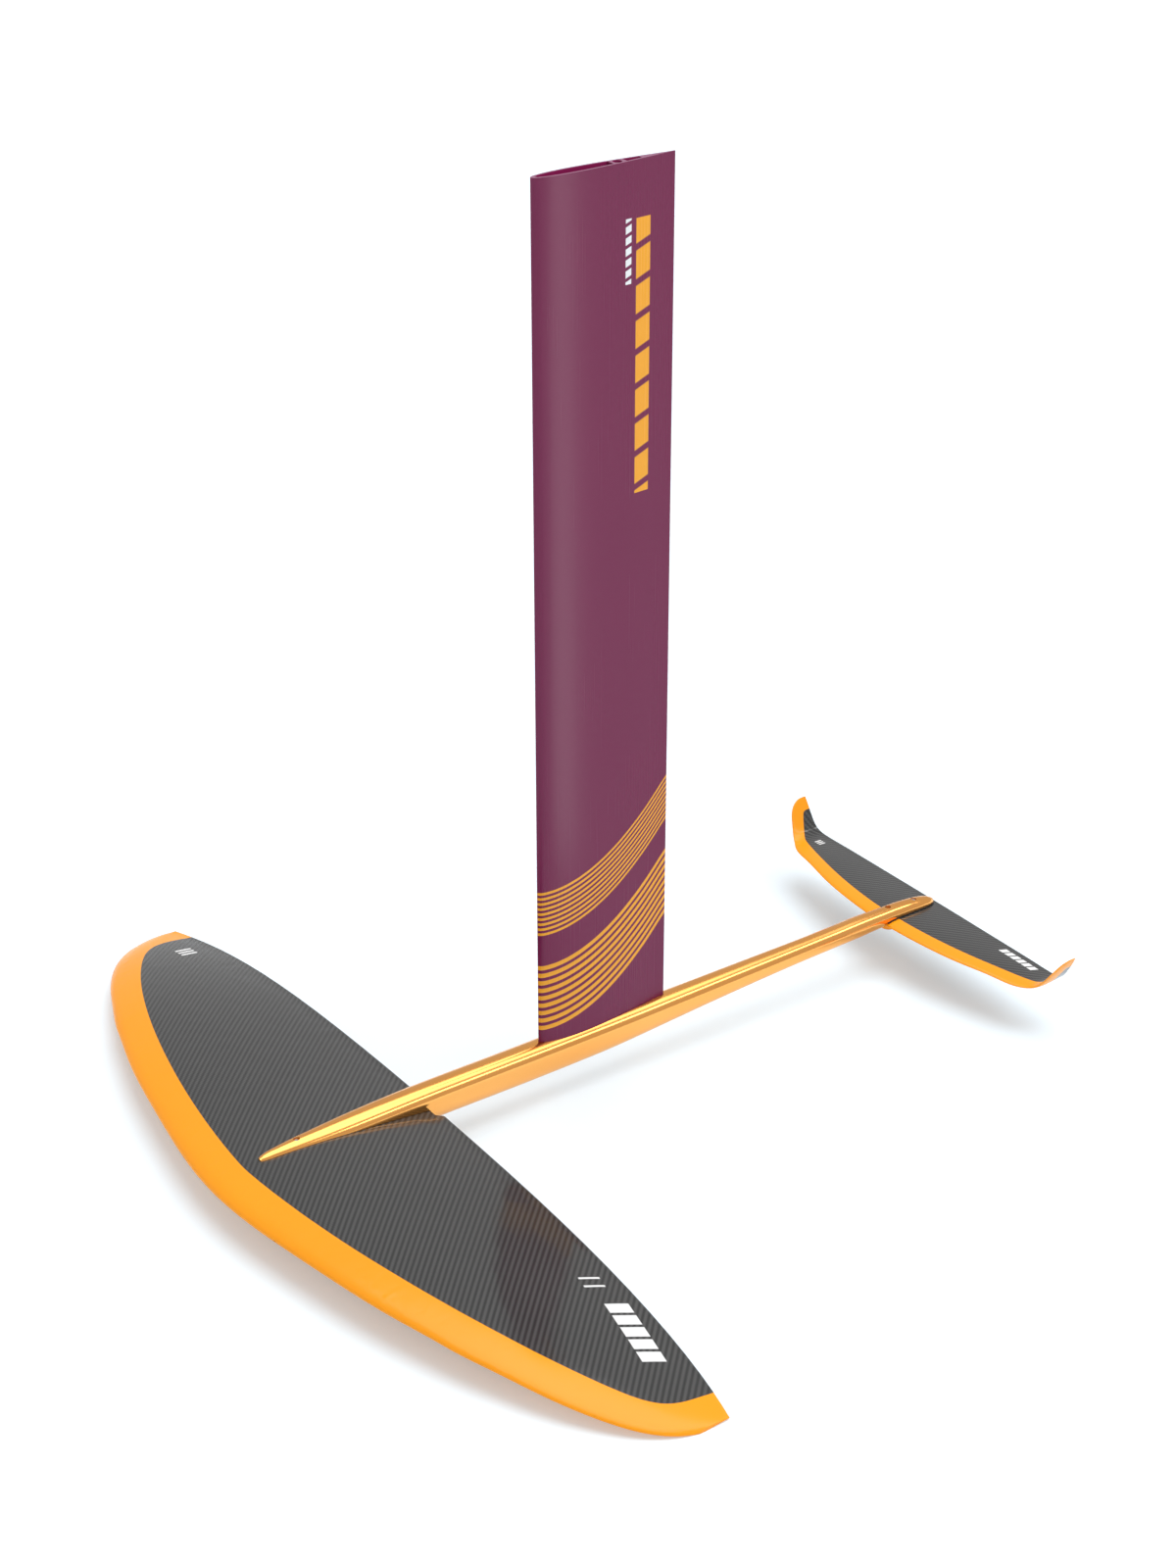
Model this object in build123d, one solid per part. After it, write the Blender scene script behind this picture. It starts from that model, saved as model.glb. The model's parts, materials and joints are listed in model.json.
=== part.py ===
"""Hydrofoil set for a board: mast, fuselage, front wing and stabiliser, bolted together.

Millimetres, with +X forward along the fuselage, +Y to port and +Z up the mast. The pieces are laid
out from the point where the mast's leading edge meets the top of the fuselage. At the end each one is
moved by ROW_ORIGIN, which puts the row's origin at the top of the mast, in the mouth of its screw
channel: that is where the set is fastened to a board.
"""

import os
from math import copysign, cos, radians, sin, sqrt

from build123d import *

# Mast: one constant aluminium section, open at the top.
MAST_EXPOSED = 850.0
MAST_CHORD = 150.3
MAST_THICKNESS_RATIO = 0.1065
MAST_WALL = 2.1
MAST_TE_THICKNESS = 1.2
POCKET_DEPTH = 14.0
POCKET_GAP = 0.3
FRONT_CELL = (-5.2, -82.2)
REAR_CELL = (-97.0, -113.5)
CHANNEL_X = -89.2
CHANNEL_RADIUS = 3.4
TOP_THREAD_RADIUS = 4.25
TOP_THREAD_DEPTH = 40.0

ROW_ORIGIN = (CHANNEL_X, 0.0, MAST_EXPOSED)

# Foot block bonded into the front cell, and the screws that pull the mast down.
FOOT_HEIGHT = 70.0
FOOT_GAP = 0.15
MAST_SCREW_X = (-30.0, -62.0, CHANNEL_X)
MAST_SCREW_FACE = (-33.2, -33.2, -31.6)
MAST_SCREW_TOP = 28.0
M8_SHANK = 4.0
M8_HEAD = 8.0
M8_SOCKET = 5.0

# Fuselage: a bar taller than wide, with a spear nose over the wing and a tail over the stabiliser.
# Each station is x, half width, and the heights of its top, its widest place and its bottom.
FUSELAGE_STATIONS = (
    (310.2, 2.6, -11.9, -13.9, -15.8),
    (306.2, 4.4, -9.9, -13.9, -17.6),
    (300.0, 6.0, -8.4, -14.2, -19.5),
    (288.0, 8.0, -7.0, -15.0, -22.3),
    (270.0, 10.3, -5.4, -15.6, -26.6),
    (245.0, 12.4, -3.9, -15.6, -31.2),
    (215.0, 13.9, -2.2, -14.4, -34.9),
    (180.0, 14.8, -0.8, -13.3, -37.2),
    (140.0, 15.0, 0.1, -12.4, -37.8),
    (90.0, 15.0, 0.3, -12.2, -37.8),
    (0.0, 15.0, 0.3, -12.2, -37.7),
    (-70.0, 14.8, 0.3, -12.1, -36.5),
    (-120.0, 14.3, 0.4, -11.8, -33.6),
    (-160.0, 13.7, 0.6, -11.4, -30.6),
    (-220.0, 12.9, 1.0, -10.7, -26.2),
    (-290.0, 12.0, 1.5, -10.0, -22.0),
    (-360.0, 11.3, 2.2, -9.0, -19.2),
    (-420.0, 10.7, 3.0, -7.5, -17.0),
    (-450.0, 10.3, 2.7, -7.3, -16.5),
    (-475.0, 9.6, 1.4, -7.7, -15.9),
    (-492.0, 8.2, -0.9, -8.4, -15.3),
    (-502.0, 5.8, -3.8, -9.4, -14.5),
    (-506.5, 3.2, -6.4, -10.2, -13.7),
)
# Above its widest place a section is an ellipse, and below it is this much squarer: 2 would be an ellipse.
KEEL_POWER = 2.4
THREAD_GAP = 0.05

# Front wing: rounded plan, drooping towards the tips. Positions use the fraction of WING_SPAN_REF.
WING_HALF_SPAN = 486.9
WING_SPAN_REF = 490.0
WING_ROOT_CHORD = 231.5
WING_PLAN_POWERS = (1.473, 0.424)
WING_TE_X = 127.9
WING_TE_SWEEP = (2.6, 12.4)
WING_TE_Z = -20.8
WING_TE_DROOP = (23.6, 28.6, -10.9)
WING_LE_Z = -29.5
WING_LE_DROOP = 34.3
WING_LE_DROOP_POWER = 4.25
WING_THICKNESS = 0.10
WING_CAMBER = 0.016
WING_CAMBER_AT = 0.45
WING_TE_THICKNESS = 0.9
WING_SKIN = 1.3
WING_BLOCK_HALF = 24.0
WING_SCREW_X = (270.6, 215.0, 160.0)
WING_THREAD_TOP = (0.0, -14.0, -10.0)
SEAT_GAP = 0.3
SHOULDER_X = 133.4
NOTCH_X = 134.2
NOTCH_HALF_WIDTHS = (28.6, 23.5)

# Stabiliser: straight trailing edge, swept leading edge, tips turned up as winglets.
STAB_BEND_Y = 180.0
STAB_ROOT_LE_X = -435.6
STAB_SWEEP = 34.5
STAB_SWEEP_POWER = 1.9
STAB_SPAN_REF = 190.0
STAB_TE_X = -511.4
STAB_LE_Z = -12.6
STAB_TE_Z = -12.2
STAB_DROOP = 1.2
STAB_THICKNESS = 0.095
STAB_TE_THICKNESS = 0.6
STAB_SKIN = 0.9
STAB_BLOCK_HALF = 16.0
# Winglet stations: y, z, tilt in degrees, leading edge x and trailing edge x.
WINGLET_STATIONS = (
    (187.6, -12.5, 18.0, -471.4, -511.2),
    (193.4, -9.6, 40.0, -474.6, -510.0),
    (199.0, -3.6, 52.0, -477.8, -508.9),
    (203.6, 3.6, 58.0, -480.2, -508.3),
    (207.8, 10.8, 61.0, -482.9, -508.0),
    (210.9, 16.8, 63.0, -486.8, -507.5),
    (212.9, 21.0, 64.0, -492.0, -506.9),
    (214.0, 23.4, 65.0, -499.0, -506.5),
)
STAB_SCREW_X = (-444.8, -480.4)
SHIM_THICKNESS = 1.0
SHIM_GAP = 0.12
SHIM_MARGIN = 0.8
PAD_HALF_WIDTH = 8.5
PAD_BOTTOM = -21.8
PAD_X = (-489.5, -437.6)

# Countersunk M6 screws shared by both wings.
M6_SHANK = 2.95
M6_HEAD = 6.0
M6_SOCKET = 4.0
M6_HOLE = 3.15
FERRULE_RADIUS = 7.2
BOND_GAP = 0.05


def foil_half_thickness(s, ratio):
    """Half thickness over chord at the fraction s behind the leading edge."""
    curve = 0.2969 * sqrt(s) - 0.1260 * s - 0.3516 * s**2 + 0.2843 * s**3 - 0.1036 * s**4
    return 5 * ratio * curve


def camber_line(s, camber, at):
    """Height of the mean line over chord at the fraction s behind the leading edge."""
    if s < at:
        return camber / at**2 * (2 * at * s - s**2)
    return camber / (1 - at) ** 2 * (1 - 2 * at + 2 * at * s - s**2)


def cosine_steps(count, first=0.0, last=1.0):
    """Fractions from first to last, closer together near both ends."""
    return [first + (last - first) * (1 - cos(radians(180 * i / count))) / 2 for i in range(count + 1)]


# ---------------------------------------------------------------- mast


def mast_half(x):
    """Half thickness of the mast at a distance x from its leading edge, x being negative."""
    s = -x / MAST_CHORD
    return max(MAST_CHORD * foil_half_thickness(s, MAST_THICKNESS_RATIO), MAST_TE_THICKNESS / 2)


def mast_outline(gap=0.0):
    """Outer outline of the mast section, grown by a gap."""
    steps = cosine_steps(14)
    chord = MAST_CHORD
    side = [(gap - s * (chord + 2 * gap), mast_half(-s * chord) + gap * min(1.0, 6 * s)) for s in steps]
    loop = [(x, y) for x, y in reversed(side)] + [(x, -y) for x, y in side[1:]]
    loop[len(side) - 1] = (gap, 0.0)
    return make_face([Spline(*loop), Line(loop[-1], loop[0])])


def mast_cell(x_front, x_rear, shrink=0.0):
    """One hollow of the mast section, or a filler smaller than it by shrink."""
    inset = MAST_WALL + shrink
    steps = cosine_steps(8)
    xs = [x_front - shrink + s * (x_rear - x_front + 2 * shrink) for s in steps]
    upper = [(x, mast_half(x) - inset) for x in xs]
    lower = [(x, -y) for x, y in reversed(upper)]
    edges = [Spline(*upper), Line(upper[-1], lower[0]), Spline(*lower), Line(lower[-1], upper[0])]
    return make_face(edges)


def prism(face, z_low, z_high):
    """A flat outline raised from z_low to z_high."""
    return extrude(Pos(0, 0, z_low) * face, amount=z_high - z_low)


def make_mast():
    """The extruded mast with its cells and screw channel."""
    channel = Pos(CHANNEL_X, 0) * Circle(CHANNEL_RADIUS)
    section = mast_outline() - mast_cell(*FRONT_CELL) - mast_cell(*REAR_CELL) - channel
    mast = prism(section, -POCKET_DEPTH, MAST_EXPOSED)
    mast -= upright_rod(CHANNEL_X, TOP_THREAD_RADIUS, MAST_EXPOSED - TOP_THREAD_DEPTH, MAST_EXPOSED + 1)
    return mast - upright_rod(CHANNEL_X, M8_SHANK + THREAD_GAP, -POCKET_DEPTH - 1, MAST_SCREW_TOP + 6)


def make_foot():
    """The block in the front cell that the two front mast screws thread into."""
    foot = prism(mast_cell(*FRONT_CELL, shrink=FOOT_GAP), -POCKET_DEPTH, FOOT_HEIGHT - POCKET_DEPTH)
    for x in MAST_SCREW_X[:2]:
        foot -= upright_rod(x, M8_SHANK + THREAD_GAP, -POCKET_DEPTH - 1, MAST_SCREW_TOP + 6)
    return foot


# ---------------------------------------------------------------- screws


def upright_rod(x, radius, z_low, z_high):
    """A cylinder along Z at y 0."""
    return Pos(x, 0, (z_low + z_high) / 2) * Cylinder(radius, z_high - z_low)


def head_cone(x, z_face, radius, shank, grow=0.0):
    """The 90 degree cone of a countersunk head whose flat face looks down at z_face."""
    height = radius - shank
    return Pos(x, 0, z_face + height / 2) * Cone(radius + grow, shank + grow, height)


def countersunk_screw(x, z_face, z_tip, head, shank, socket):
    """A screw driven upwards: flat head down, hex socket in the head."""
    rim = 0.6
    body = upright_rod(x, head, z_face, z_face + rim)
    body += head_cone(x, z_face + rim, head, shank)
    body += upright_rod(x, shank, z_face + rim, z_tip - shank / 3)
    body += Pos(x, 0, z_tip - shank / 6) * Cone(shank, shank * 2 / 3, shank / 3)
    hex_socket = extrude(Pos(x, 0, z_face) * RegularPolygon(socket / 2, 6, major_radius=False), amount=shank)
    return body - hex_socket


def screw_clearance(x, z_face, z_top, head, shank_hole, depth=30.0):
    """What a countersunk screw needs open: its hole, its cone and the way in from below."""
    rim = 0.6
    gap = 0.2
    tool = upright_rod(x, shank_hole, z_face, z_top)
    tool += head_cone(x, z_face + rim, head, shank_hole - gap, grow=gap)
    return tool + upright_rod(x, head + gap, z_face - depth, z_face + rim)


# ---------------------------------------------------------------- front wing


class Station:
    """One section of a wing: where its edges are, how thick it is and how it is tilted."""

    def __init__(self, y, le, te, tilt, ratio, camber, te_thickness):
        self.y, self.le, self.te, self.tilt = y, le, te, radians(tilt)
        self.ratio, self.camber, self.te_thickness = ratio, camber, te_thickness

    def point(self, s, height):
        """The place at fraction s behind the leading edge, height above the chord line."""
        x = self.le[0] + s * (self.te[0] - self.le[0])
        z = self.le[1] + s * (self.te[1] - self.le[1])
        side = 1 if self.y >= 0 else -1
        return Vector(x, self.y - side * height * sin(self.tilt), z + height * cos(self.tilt))

    def half(self, s):
        """Half thickness in millimetres, never under the trailing edge's."""
        chord = self.le[0] - self.te[0]
        closed = chord * foil_half_thickness(s, self.ratio)
        return closed if s < 0.5 else max(closed, self.te_thickness / 2)

    def mean(self, s):
        """Height of the mean line in millimetres."""
        return (self.le[0] - self.te[0]) * camber_line(s, self.camber, WING_CAMBER_AT)

    def outer(self):
        """The closed outline of the section."""
        steps = cosine_steps(12)
        top = [self.point(s, self.mean(s) + self.half(s)) for s in reversed(steps)]
        bottom = [self.point(s, self.mean(s) - self.half(s)) for s in steps[1:]]
        loop = top + bottom
        return Face(Wire([Edge.make_spline(loop), Edge.make_line(loop[-1], loop[0])]))

    def inner(self, skin, first, last):
        """The outline of the core, under a skin."""
        steps = cosine_steps(8, first, last)
        top = [self.point(s, self.mean(s) + self.half(s) - skin) for s in steps]
        bottom = [self.point(s, self.mean(s) - self.half(s) + skin) for s in reversed(steps)]
        edges = [Edge.make_spline(top), Edge.make_line(top[-1], bottom[0])]
        edges += [Edge.make_spline(bottom), Edge.make_line(bottom[-1], top[0])]
        return Face(Wire(edges))

    def above(self, reach, margin):
        """A four-sided outline over the chord line, which parts the upper skin from the lower."""
        chord = self.le[0] - self.te[0]
        ends = (-margin / chord, 1 + margin / chord)
        corners = [self.point(ends[0], 0), self.point(ends[1], 0)]
        corners += [self.point(ends[1], reach), self.point(ends[0], reach)]
        return Face(Wire.make_polygon(corners))


def wing_station(y):
    """The front wing's section at y."""
    u = abs(y) / WING_SPAN_REF
    inner_power, outer_power = WING_PLAN_POWERS
    chord = WING_ROOT_CHORD * (1 - u**inner_power) ** outer_power
    sweep, tip_sweep = WING_TE_SWEEP
    droop, outer_droop, tip_droop = WING_TE_DROOP
    te_x = WING_TE_X + sweep * u**4 + tip_sweep * u**8
    te_z = WING_TE_Z - droop * u**2 - outer_droop * u**4 - tip_droop * u**8
    le_z = WING_LE_Z - WING_LE_DROOP * u**WING_LE_DROOP_POWER
    return Station(y, (te_x + chord, le_z), (te_x, te_z), 0.0, WING_THICKNESS, WING_CAMBER, WING_TE_THICKNESS)


def mirrored(values):
    """A list that starts at 0 as one that runs from port to starboard."""
    return [-v for v in reversed(values[1:])] + list(values)


def wing_surface(x, side):
    """Height of the front wing's upper (side 1) or lower (side -1) surface at y 0."""
    root = wing_station(0.0)
    s = (root.le[0] - x) / (root.le[0] - root.te[0])
    return root.point(s, root.mean(s) + side * root.half(s)).Z


def part_skins(outer, core, parting):
    """Splits a wing's shell into its upper and lower skin along the chord line."""
    shell = outer - core
    return shell & parting, shell - parting


def box_between(x, y, z):
    """A box from its lowest to its highest x, y and z."""
    size = [b - a for a, b in (x, y, z)]
    return Pos(*[(a + b) / 2 for a, b in (x, y, z)]) * Box(*size)


def side_cores(core, half_block):
    """The port and starboard parts of a core, outboard of the root block."""
    port = core & box_between((-600.0, 600.0), (half_block, 600.0), (-100.0, 100.0))
    return port, core & box_between((-600.0, 600.0), (-600.0, -half_block), (-100.0, 100.0))


def make_front_wing():
    """Skins, core, root block, ferrules and screws of the front wing."""
    spans = mirrored([0, 100, 190, 270, 335, 390, 430, 458, 474, 483, WING_HALF_SPAN])
    stations = [wing_station(y) for y in spans]
    outer = loft([st.outer() for st in stations])
    inside = [wing_station(y) for y in mirrored([0, 100, 190, 270, 335, 390, 425, 450])]
    core = loft([st.inner(WING_SKIN, 0.06, 0.80) for st in inside])
    parting = loft([st.above(60.0, 12.0) for st in stations])

    wide, narrow = NOTCH_HALF_WIDTHS
    far = WING_TE_X - 12
    flare = (wide - narrow) / (NOTCH_X - WING_TE_X)
    wide_far = narrow + flare * (NOTCH_X - far)
    notch_line = [(NOTCH_X, narrow), (NOTCH_X, -narrow), (far, -wide_far), (far, wide_far)]
    notch = prism(make_face(Polyline(*notch_line, close=True)), -60, 0)

    ferrules, sleeves, screws = [], [], []
    for x, thread_top in zip(WING_SCREW_X, WING_THREAD_TOP):
        face = max(wing_surface(x - 6, -1), wing_surface(x + 6, -1)) + 0.4
        tip = wing_surface(x, 1) + 4.2 if thread_top == 0 else thread_top
        way = screw_clearance(x, face, 0.0, M6_HEAD, M6_HOLE)
        ferrules.append((upright_rod(x, FERRULE_RADIUS, -60, 0) & outer) - way)
        sleeves.append(upright_rod(x, FERRULE_RADIUS + BOND_GAP, -60, 0))
        screws.append(countersunk_screw(x, face, tip, M6_HEAD, M6_SHANK, M6_SOCKET))

    upper, lower = part_skins(outer, core, parting)
    block = core & box_between((100.0, 400.0), (-WING_BLOCK_HALF, WING_BLOCK_HALF), (-60.0, 0.0))
    port, starboard = side_cores(core, WING_BLOCK_HALF)
    for sleeve in sleeves:
        upper, lower, block = upper - sleeve, lower - sleeve, block - sleeve
    return {
        "front_wing_upper_skin": upper - notch,
        "front_wing_lower_skin": lower - notch,
        "front_wing_port_core": port,
        "front_wing_starboard_core": starboard,
        "front_wing_root_block": block,
        "front_wing_ferrules": Compound(ferrules),
        "front_wing_screws": Compound(screws),
    }


# ---------------------------------------------------------------- stabiliser


def stab_station(y):
    """The stabiliser's section at y, inboard of the winglets."""
    u = abs(y) / STAB_SPAN_REF
    le = (STAB_ROOT_LE_X - STAB_SWEEP * u**STAB_SWEEP_POWER, STAB_LE_Z - STAB_DROOP * u**2)
    te = (STAB_TE_X, STAB_TE_Z - STAB_DROOP * u**2)
    return Station(y, le, te, 0.0, STAB_THICKNESS, 0.0, STAB_TE_THICKNESS)


def winglet_station(side, y, z, tilt, le_x, te_x):
    """One section of a winglet on the port (1) or starboard (-1) side."""
    return Station(side * y, (le_x, z), (te_x, z), tilt, STAB_THICKNESS, 0.0, STAB_TE_THICKNESS)


def stab_surface(x, side):
    """Height of the stabiliser's upper (side 1) or lower (side -1) surface at y 0."""
    root = stab_station(0.0)
    s = (root.le[0] - x) / (root.le[0] - root.te[0])
    return root.point(s, side * root.half(s)).Z


def profile_wall(surface, xs, lift, z_far, half_width):
    """A wall across the fuselage between a lifted surface line and the height z_far."""
    line = [(x, surface(x, 1) + lift) for x in xs]
    edges = [Spline(*line), Line(line[-1], (xs[-1], z_far)), Line((xs[-1], z_far), (xs[0], z_far))]
    edges.append(Line((xs[0], z_far), line[0]))
    return extrude(Plane.XZ * make_face(edges), amount=half_width, both=True)


def shim_line(count=8):
    """The x places that carry the line of the stabiliser's top."""
    first, last = STAB_ROOT_LE_X - 2.0, STAB_TE_X + 1.0
    return [first + (last - first) * i / count for i in range(count + 1)]


def make_stabiliser():
    """Skins, core, root pad, shim, ferrules and screws of the stabiliser."""
    flat = mirrored([0, 60, 110, 150, STAB_BEND_Y])
    port = [winglet_station(1, *row) for row in WINGLET_STATIONS]
    starboard = [winglet_station(-1, *row) for row in reversed(WINGLET_STATIONS)]
    stations = starboard + [stab_station(y) for y in flat] + port
    outer = loft([st.outer() for st in stations])
    parting = loft([st.above(7.0, 5.0) for st in stations])
    core = loft([stab_station(y).inner(STAB_SKIN, 0.10, 0.72) for y in mirrored([0, 60, 110, 150, 172])])

    rear, front = PAD_X
    pad_plan = SlotOverall(front - rear, 2 * PAD_HALF_WIDTH)
    pad = prism(Pos((front + rear) / 2, 0) * pad_plan, PAD_BOTTOM, STAB_LE_Z)
    pad = chamfer(pad.faces().sort_by(Axis.Z)[0].edges(), 1.6) - outer

    lift = SHIM_GAP
    shim = profile_wall(stab_surface, shim_line(), lift, 30.0, 30.0)
    shim -= profile_wall(stab_surface, shim_line(), lift + SHIM_THICKNESS, 40.0, 31.0)
    plan = prism(tail_outline(SHIM_MARGIN), -30.0, 20.0)
    shim = shim & plan

    ferrules, screws = [], []
    upper, lower = part_skins(outer, core, parting)
    block = core & box_between((-520.0, -420.0), (-STAB_BLOCK_HALF, STAB_BLOCK_HALF), (-30.0, 0.0))
    port_core, starboard_core = side_cores(core, STAB_BLOCK_HALF)
    for x in STAB_SCREW_X:
        face = PAD_BOTTOM + 0.3
        way = screw_clearance(x, face, 10.0, M6_HEAD, M6_HOLE)
        sleeve = upright_rod(x, M6_HEAD + 1.0, PAD_BOTTOM - 2, 5.0) & (outer + pad)
        ferrules.append(sleeve - way)
        hole = upright_rod(x, M6_HEAD + 1.0 + BOND_GAP, -40.0, 5.0)
        upper, lower, block, pad = upper - hole, lower - hole, block - hole, pad - hole
        shim -= upright_rod(x, M6_HOLE, -40.0, 10.0)
        screws.append(countersunk_screw(x, face, -0.6, M6_HEAD, M6_SHANK, M6_SOCKET))
    return {
        "stabiliser_upper_skin": upper,
        "stabiliser_lower_skin": lower,
        "stabiliser_port_core": port_core,
        "stabiliser_starboard_core": starboard_core,
        "stabiliser_root_block": block,
        "stabiliser_root_pad": pad,
        "tail_shim": shim,
        "stabiliser_ferrules": Compound(ferrules),
        "stabiliser_screws": Compound(screws),
    }


# ---------------------------------------------------------------- fuselage


def tail_outline(margin):
    """The plan of the tail over the stabiliser, grown by a margin."""
    rows = [row for row in FUSELAGE_STATIONS if row[0] < -400.0]
    side = [(row[0], row[1] + margin) for row in rows]
    side.append((rows[-1][0] - 1.0 - margin, 0.0))
    loop = side + [(x, -y) for x, y in reversed(side[:-1])]
    return make_face([Spline(*loop), Line(loop[-1], loop[0])])


def fuselage_section(x, half_width, top, waist, bottom, count=24):
    """A section across the fuselage: elliptic above its waist and squarer below."""
    points = []
    for i in range(count):
        angle = radians(360 * i / count)
        power, height = (1.0, top - waist) if i <= count / 2 else (2 / KEEL_POWER, waist - bottom)
        y = half_width * copysign(abs(cos(angle)) ** power, cos(angle))
        z = waist + height * copysign(abs(sin(angle)) ** power, sin(angle))
        points.append((x, y, z))
    return Face(Wire([Edge.make_spline(points, periodic=True)]))


def make_fuselage():
    """The fuselage with its mast pocket, wing seats and screw holes."""
    body = loft([fuselage_section(*row) for row in FUSELAGE_STATIONS])
    body -= prism(mast_outline(POCKET_GAP), -POCKET_DEPTH, 10.0)

    count = 12
    nose_end = FUSELAGE_STATIONS[0][0] + 6.0
    seat_xs = [SHOULDER_X + (nose_end - SHOULDER_X) * i / count for i in range(count + 1)]
    body -= profile_wall(wing_surface, seat_xs, SEAT_GAP, -60.0, 40.0)

    lift = SHIM_GAP + SHIM_THICKNESS + SEAT_GAP
    tail_xs = [STAB_ROOT_LE_X + 3.0] + shim_line()[1:-1] + [STAB_TE_X + 0.5]
    body -= profile_wall(stab_under_tail, tail_xs, lift, -40.0, 30.0)

    for x, face in zip(MAST_SCREW_X, MAST_SCREW_FACE):
        body -= screw_clearance(x, face, 10.0, M8_HEAD, M8_SHANK + 0.3)
    for x, thread_top in zip(WING_SCREW_X, WING_THREAD_TOP):
        top = 10.0 if thread_top == 0 else thread_top + 2.0
        body -= upright_rod(x, M6_SHANK + THREAD_GAP, -60.0, top)
    for x in STAB_SCREW_X:
        body -= upright_rod(x, M6_SHANK + THREAD_GAP, -40.0, 20.0)
    return body


def stab_under_tail(x, side):
    """The stabiliser's top line, held level ahead of its leading edge."""
    return stab_surface(min(x, STAB_ROOT_LE_X - 2.0), side)


def make_mast_screws():
    """The three screws from the fuselage's underside up into the mast."""
    screws = []
    for x, face in zip(MAST_SCREW_X, MAST_SCREW_FACE):
        screws.append(countersunk_screw(x, face, MAST_SCREW_TOP, M8_HEAD, M8_SHANK, M8_SOCKET))
    return Compound(screws)


def main():
    """Builds every piece and writes one STEP file for each node."""
    os.makedirs("parts", exist_ok=True)
    nodes = {
        "mast_extrusion": make_mast(),
        "mast_foot_block": make_foot(),
        "mast_screws": make_mast_screws(),
        "fuselage_body": make_fuselage(),
    }
    nodes.update(make_front_wing())
    nodes.update(make_stabiliser())
    to_row = Pos(*[-value for value in ROW_ORIGIN])
    for name, shape in nodes.items():
        export_step(to_row * shape, f"parts/{name}.step")


main()
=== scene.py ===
"""Looks for a take-apart hydrofoil set: mast, fuselage, front wing and stabiliser.

Metres, in the row frame: +X forward, +Y to port, +Z up, origin at the top of the mast.
"""

import json
from functools import reduce
from math import cos, pi, radians, sin, tau

import bmesh
import bpy
import numpy as np
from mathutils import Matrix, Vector

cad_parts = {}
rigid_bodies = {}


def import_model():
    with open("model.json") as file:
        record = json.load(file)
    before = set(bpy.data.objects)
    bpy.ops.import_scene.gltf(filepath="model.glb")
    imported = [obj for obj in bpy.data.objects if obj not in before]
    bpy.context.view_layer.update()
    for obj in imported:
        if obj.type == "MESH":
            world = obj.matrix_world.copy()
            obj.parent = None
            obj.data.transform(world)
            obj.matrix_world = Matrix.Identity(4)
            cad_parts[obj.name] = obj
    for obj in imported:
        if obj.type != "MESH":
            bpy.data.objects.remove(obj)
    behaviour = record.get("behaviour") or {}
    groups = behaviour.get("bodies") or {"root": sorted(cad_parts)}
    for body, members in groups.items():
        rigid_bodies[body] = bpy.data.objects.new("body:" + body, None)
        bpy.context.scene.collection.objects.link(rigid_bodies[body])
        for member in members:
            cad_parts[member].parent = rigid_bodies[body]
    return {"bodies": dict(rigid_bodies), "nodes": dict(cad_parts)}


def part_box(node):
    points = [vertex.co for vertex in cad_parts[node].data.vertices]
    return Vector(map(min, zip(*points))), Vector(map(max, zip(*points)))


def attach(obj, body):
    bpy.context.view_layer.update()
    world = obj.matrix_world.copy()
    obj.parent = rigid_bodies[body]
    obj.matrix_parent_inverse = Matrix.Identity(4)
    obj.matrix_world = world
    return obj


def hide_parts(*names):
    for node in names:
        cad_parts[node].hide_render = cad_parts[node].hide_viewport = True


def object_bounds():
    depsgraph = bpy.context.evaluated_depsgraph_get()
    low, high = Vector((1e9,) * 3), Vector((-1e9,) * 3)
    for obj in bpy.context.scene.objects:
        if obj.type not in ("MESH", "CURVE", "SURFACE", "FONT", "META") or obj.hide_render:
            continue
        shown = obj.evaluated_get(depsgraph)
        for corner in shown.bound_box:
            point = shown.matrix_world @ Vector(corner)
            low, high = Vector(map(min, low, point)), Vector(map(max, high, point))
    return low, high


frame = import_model()
CAD_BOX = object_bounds()
NODES = frame["nodes"]

# The x of the mast's leading edge, and the mast's length above the fuselage. The sizes below are
# measured from that edge and from the fuselage's top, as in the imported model.
MAST_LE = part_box("mast_extrusion")[1][0]
MAST_EXPOSED = 0.850

# The front wing's plan, droop, section and paint. Thickness and camber are shares of the chord.
WING_SPAN_REF = 0.490
WING_ROOT_CHORD = 0.2315
WING_PLAN_POWERS = (1.473, 0.424)
WING_TE_X = 0.1279
WING_TE_SWEEP = (0.0026, 0.0124)
WING_TE_Z = -0.0208
WING_TE_DROOP = (0.0236, 0.0286, -0.0109)
WING_LE_Z = -0.0295
WING_LE_DROOP = 0.0343
WING_LE_DROOP_POWER = 4.25
WING_THICKNESS = 0.10
WING_CAMBER = 0.016
WING_CAMBER_AT = 0.45
WING_BAND = 0.0332
WING_BAND_GROWTH = 0.0050
WING_BAND_END = 0.4585
WING_BAND_ROUNDING = 0.034

# The thickness terms of a four-digit section: the square root, then the first to fourth powers.
SECTION_ROOT_TERM = 0.2969
SECTION_TERMS = (-0.1260, -0.3516, 0.2843, -0.1036)

# The stabiliser's plan and paint.
STAB_LE_X = -0.4356
STAB_SWEEP = 0.0345
STAB_SWEEP_POWER = 1.9
STAB_SPAN_REF = 0.190
STAB_WINGLET_Y = 0.184
STAB_WINGLET_SWEEP = 0.28
STAB_BAND = 0.016
STAB_BAND_TOP = 0.0105
STAB_BAND_ROUNDING = 0.006

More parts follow.
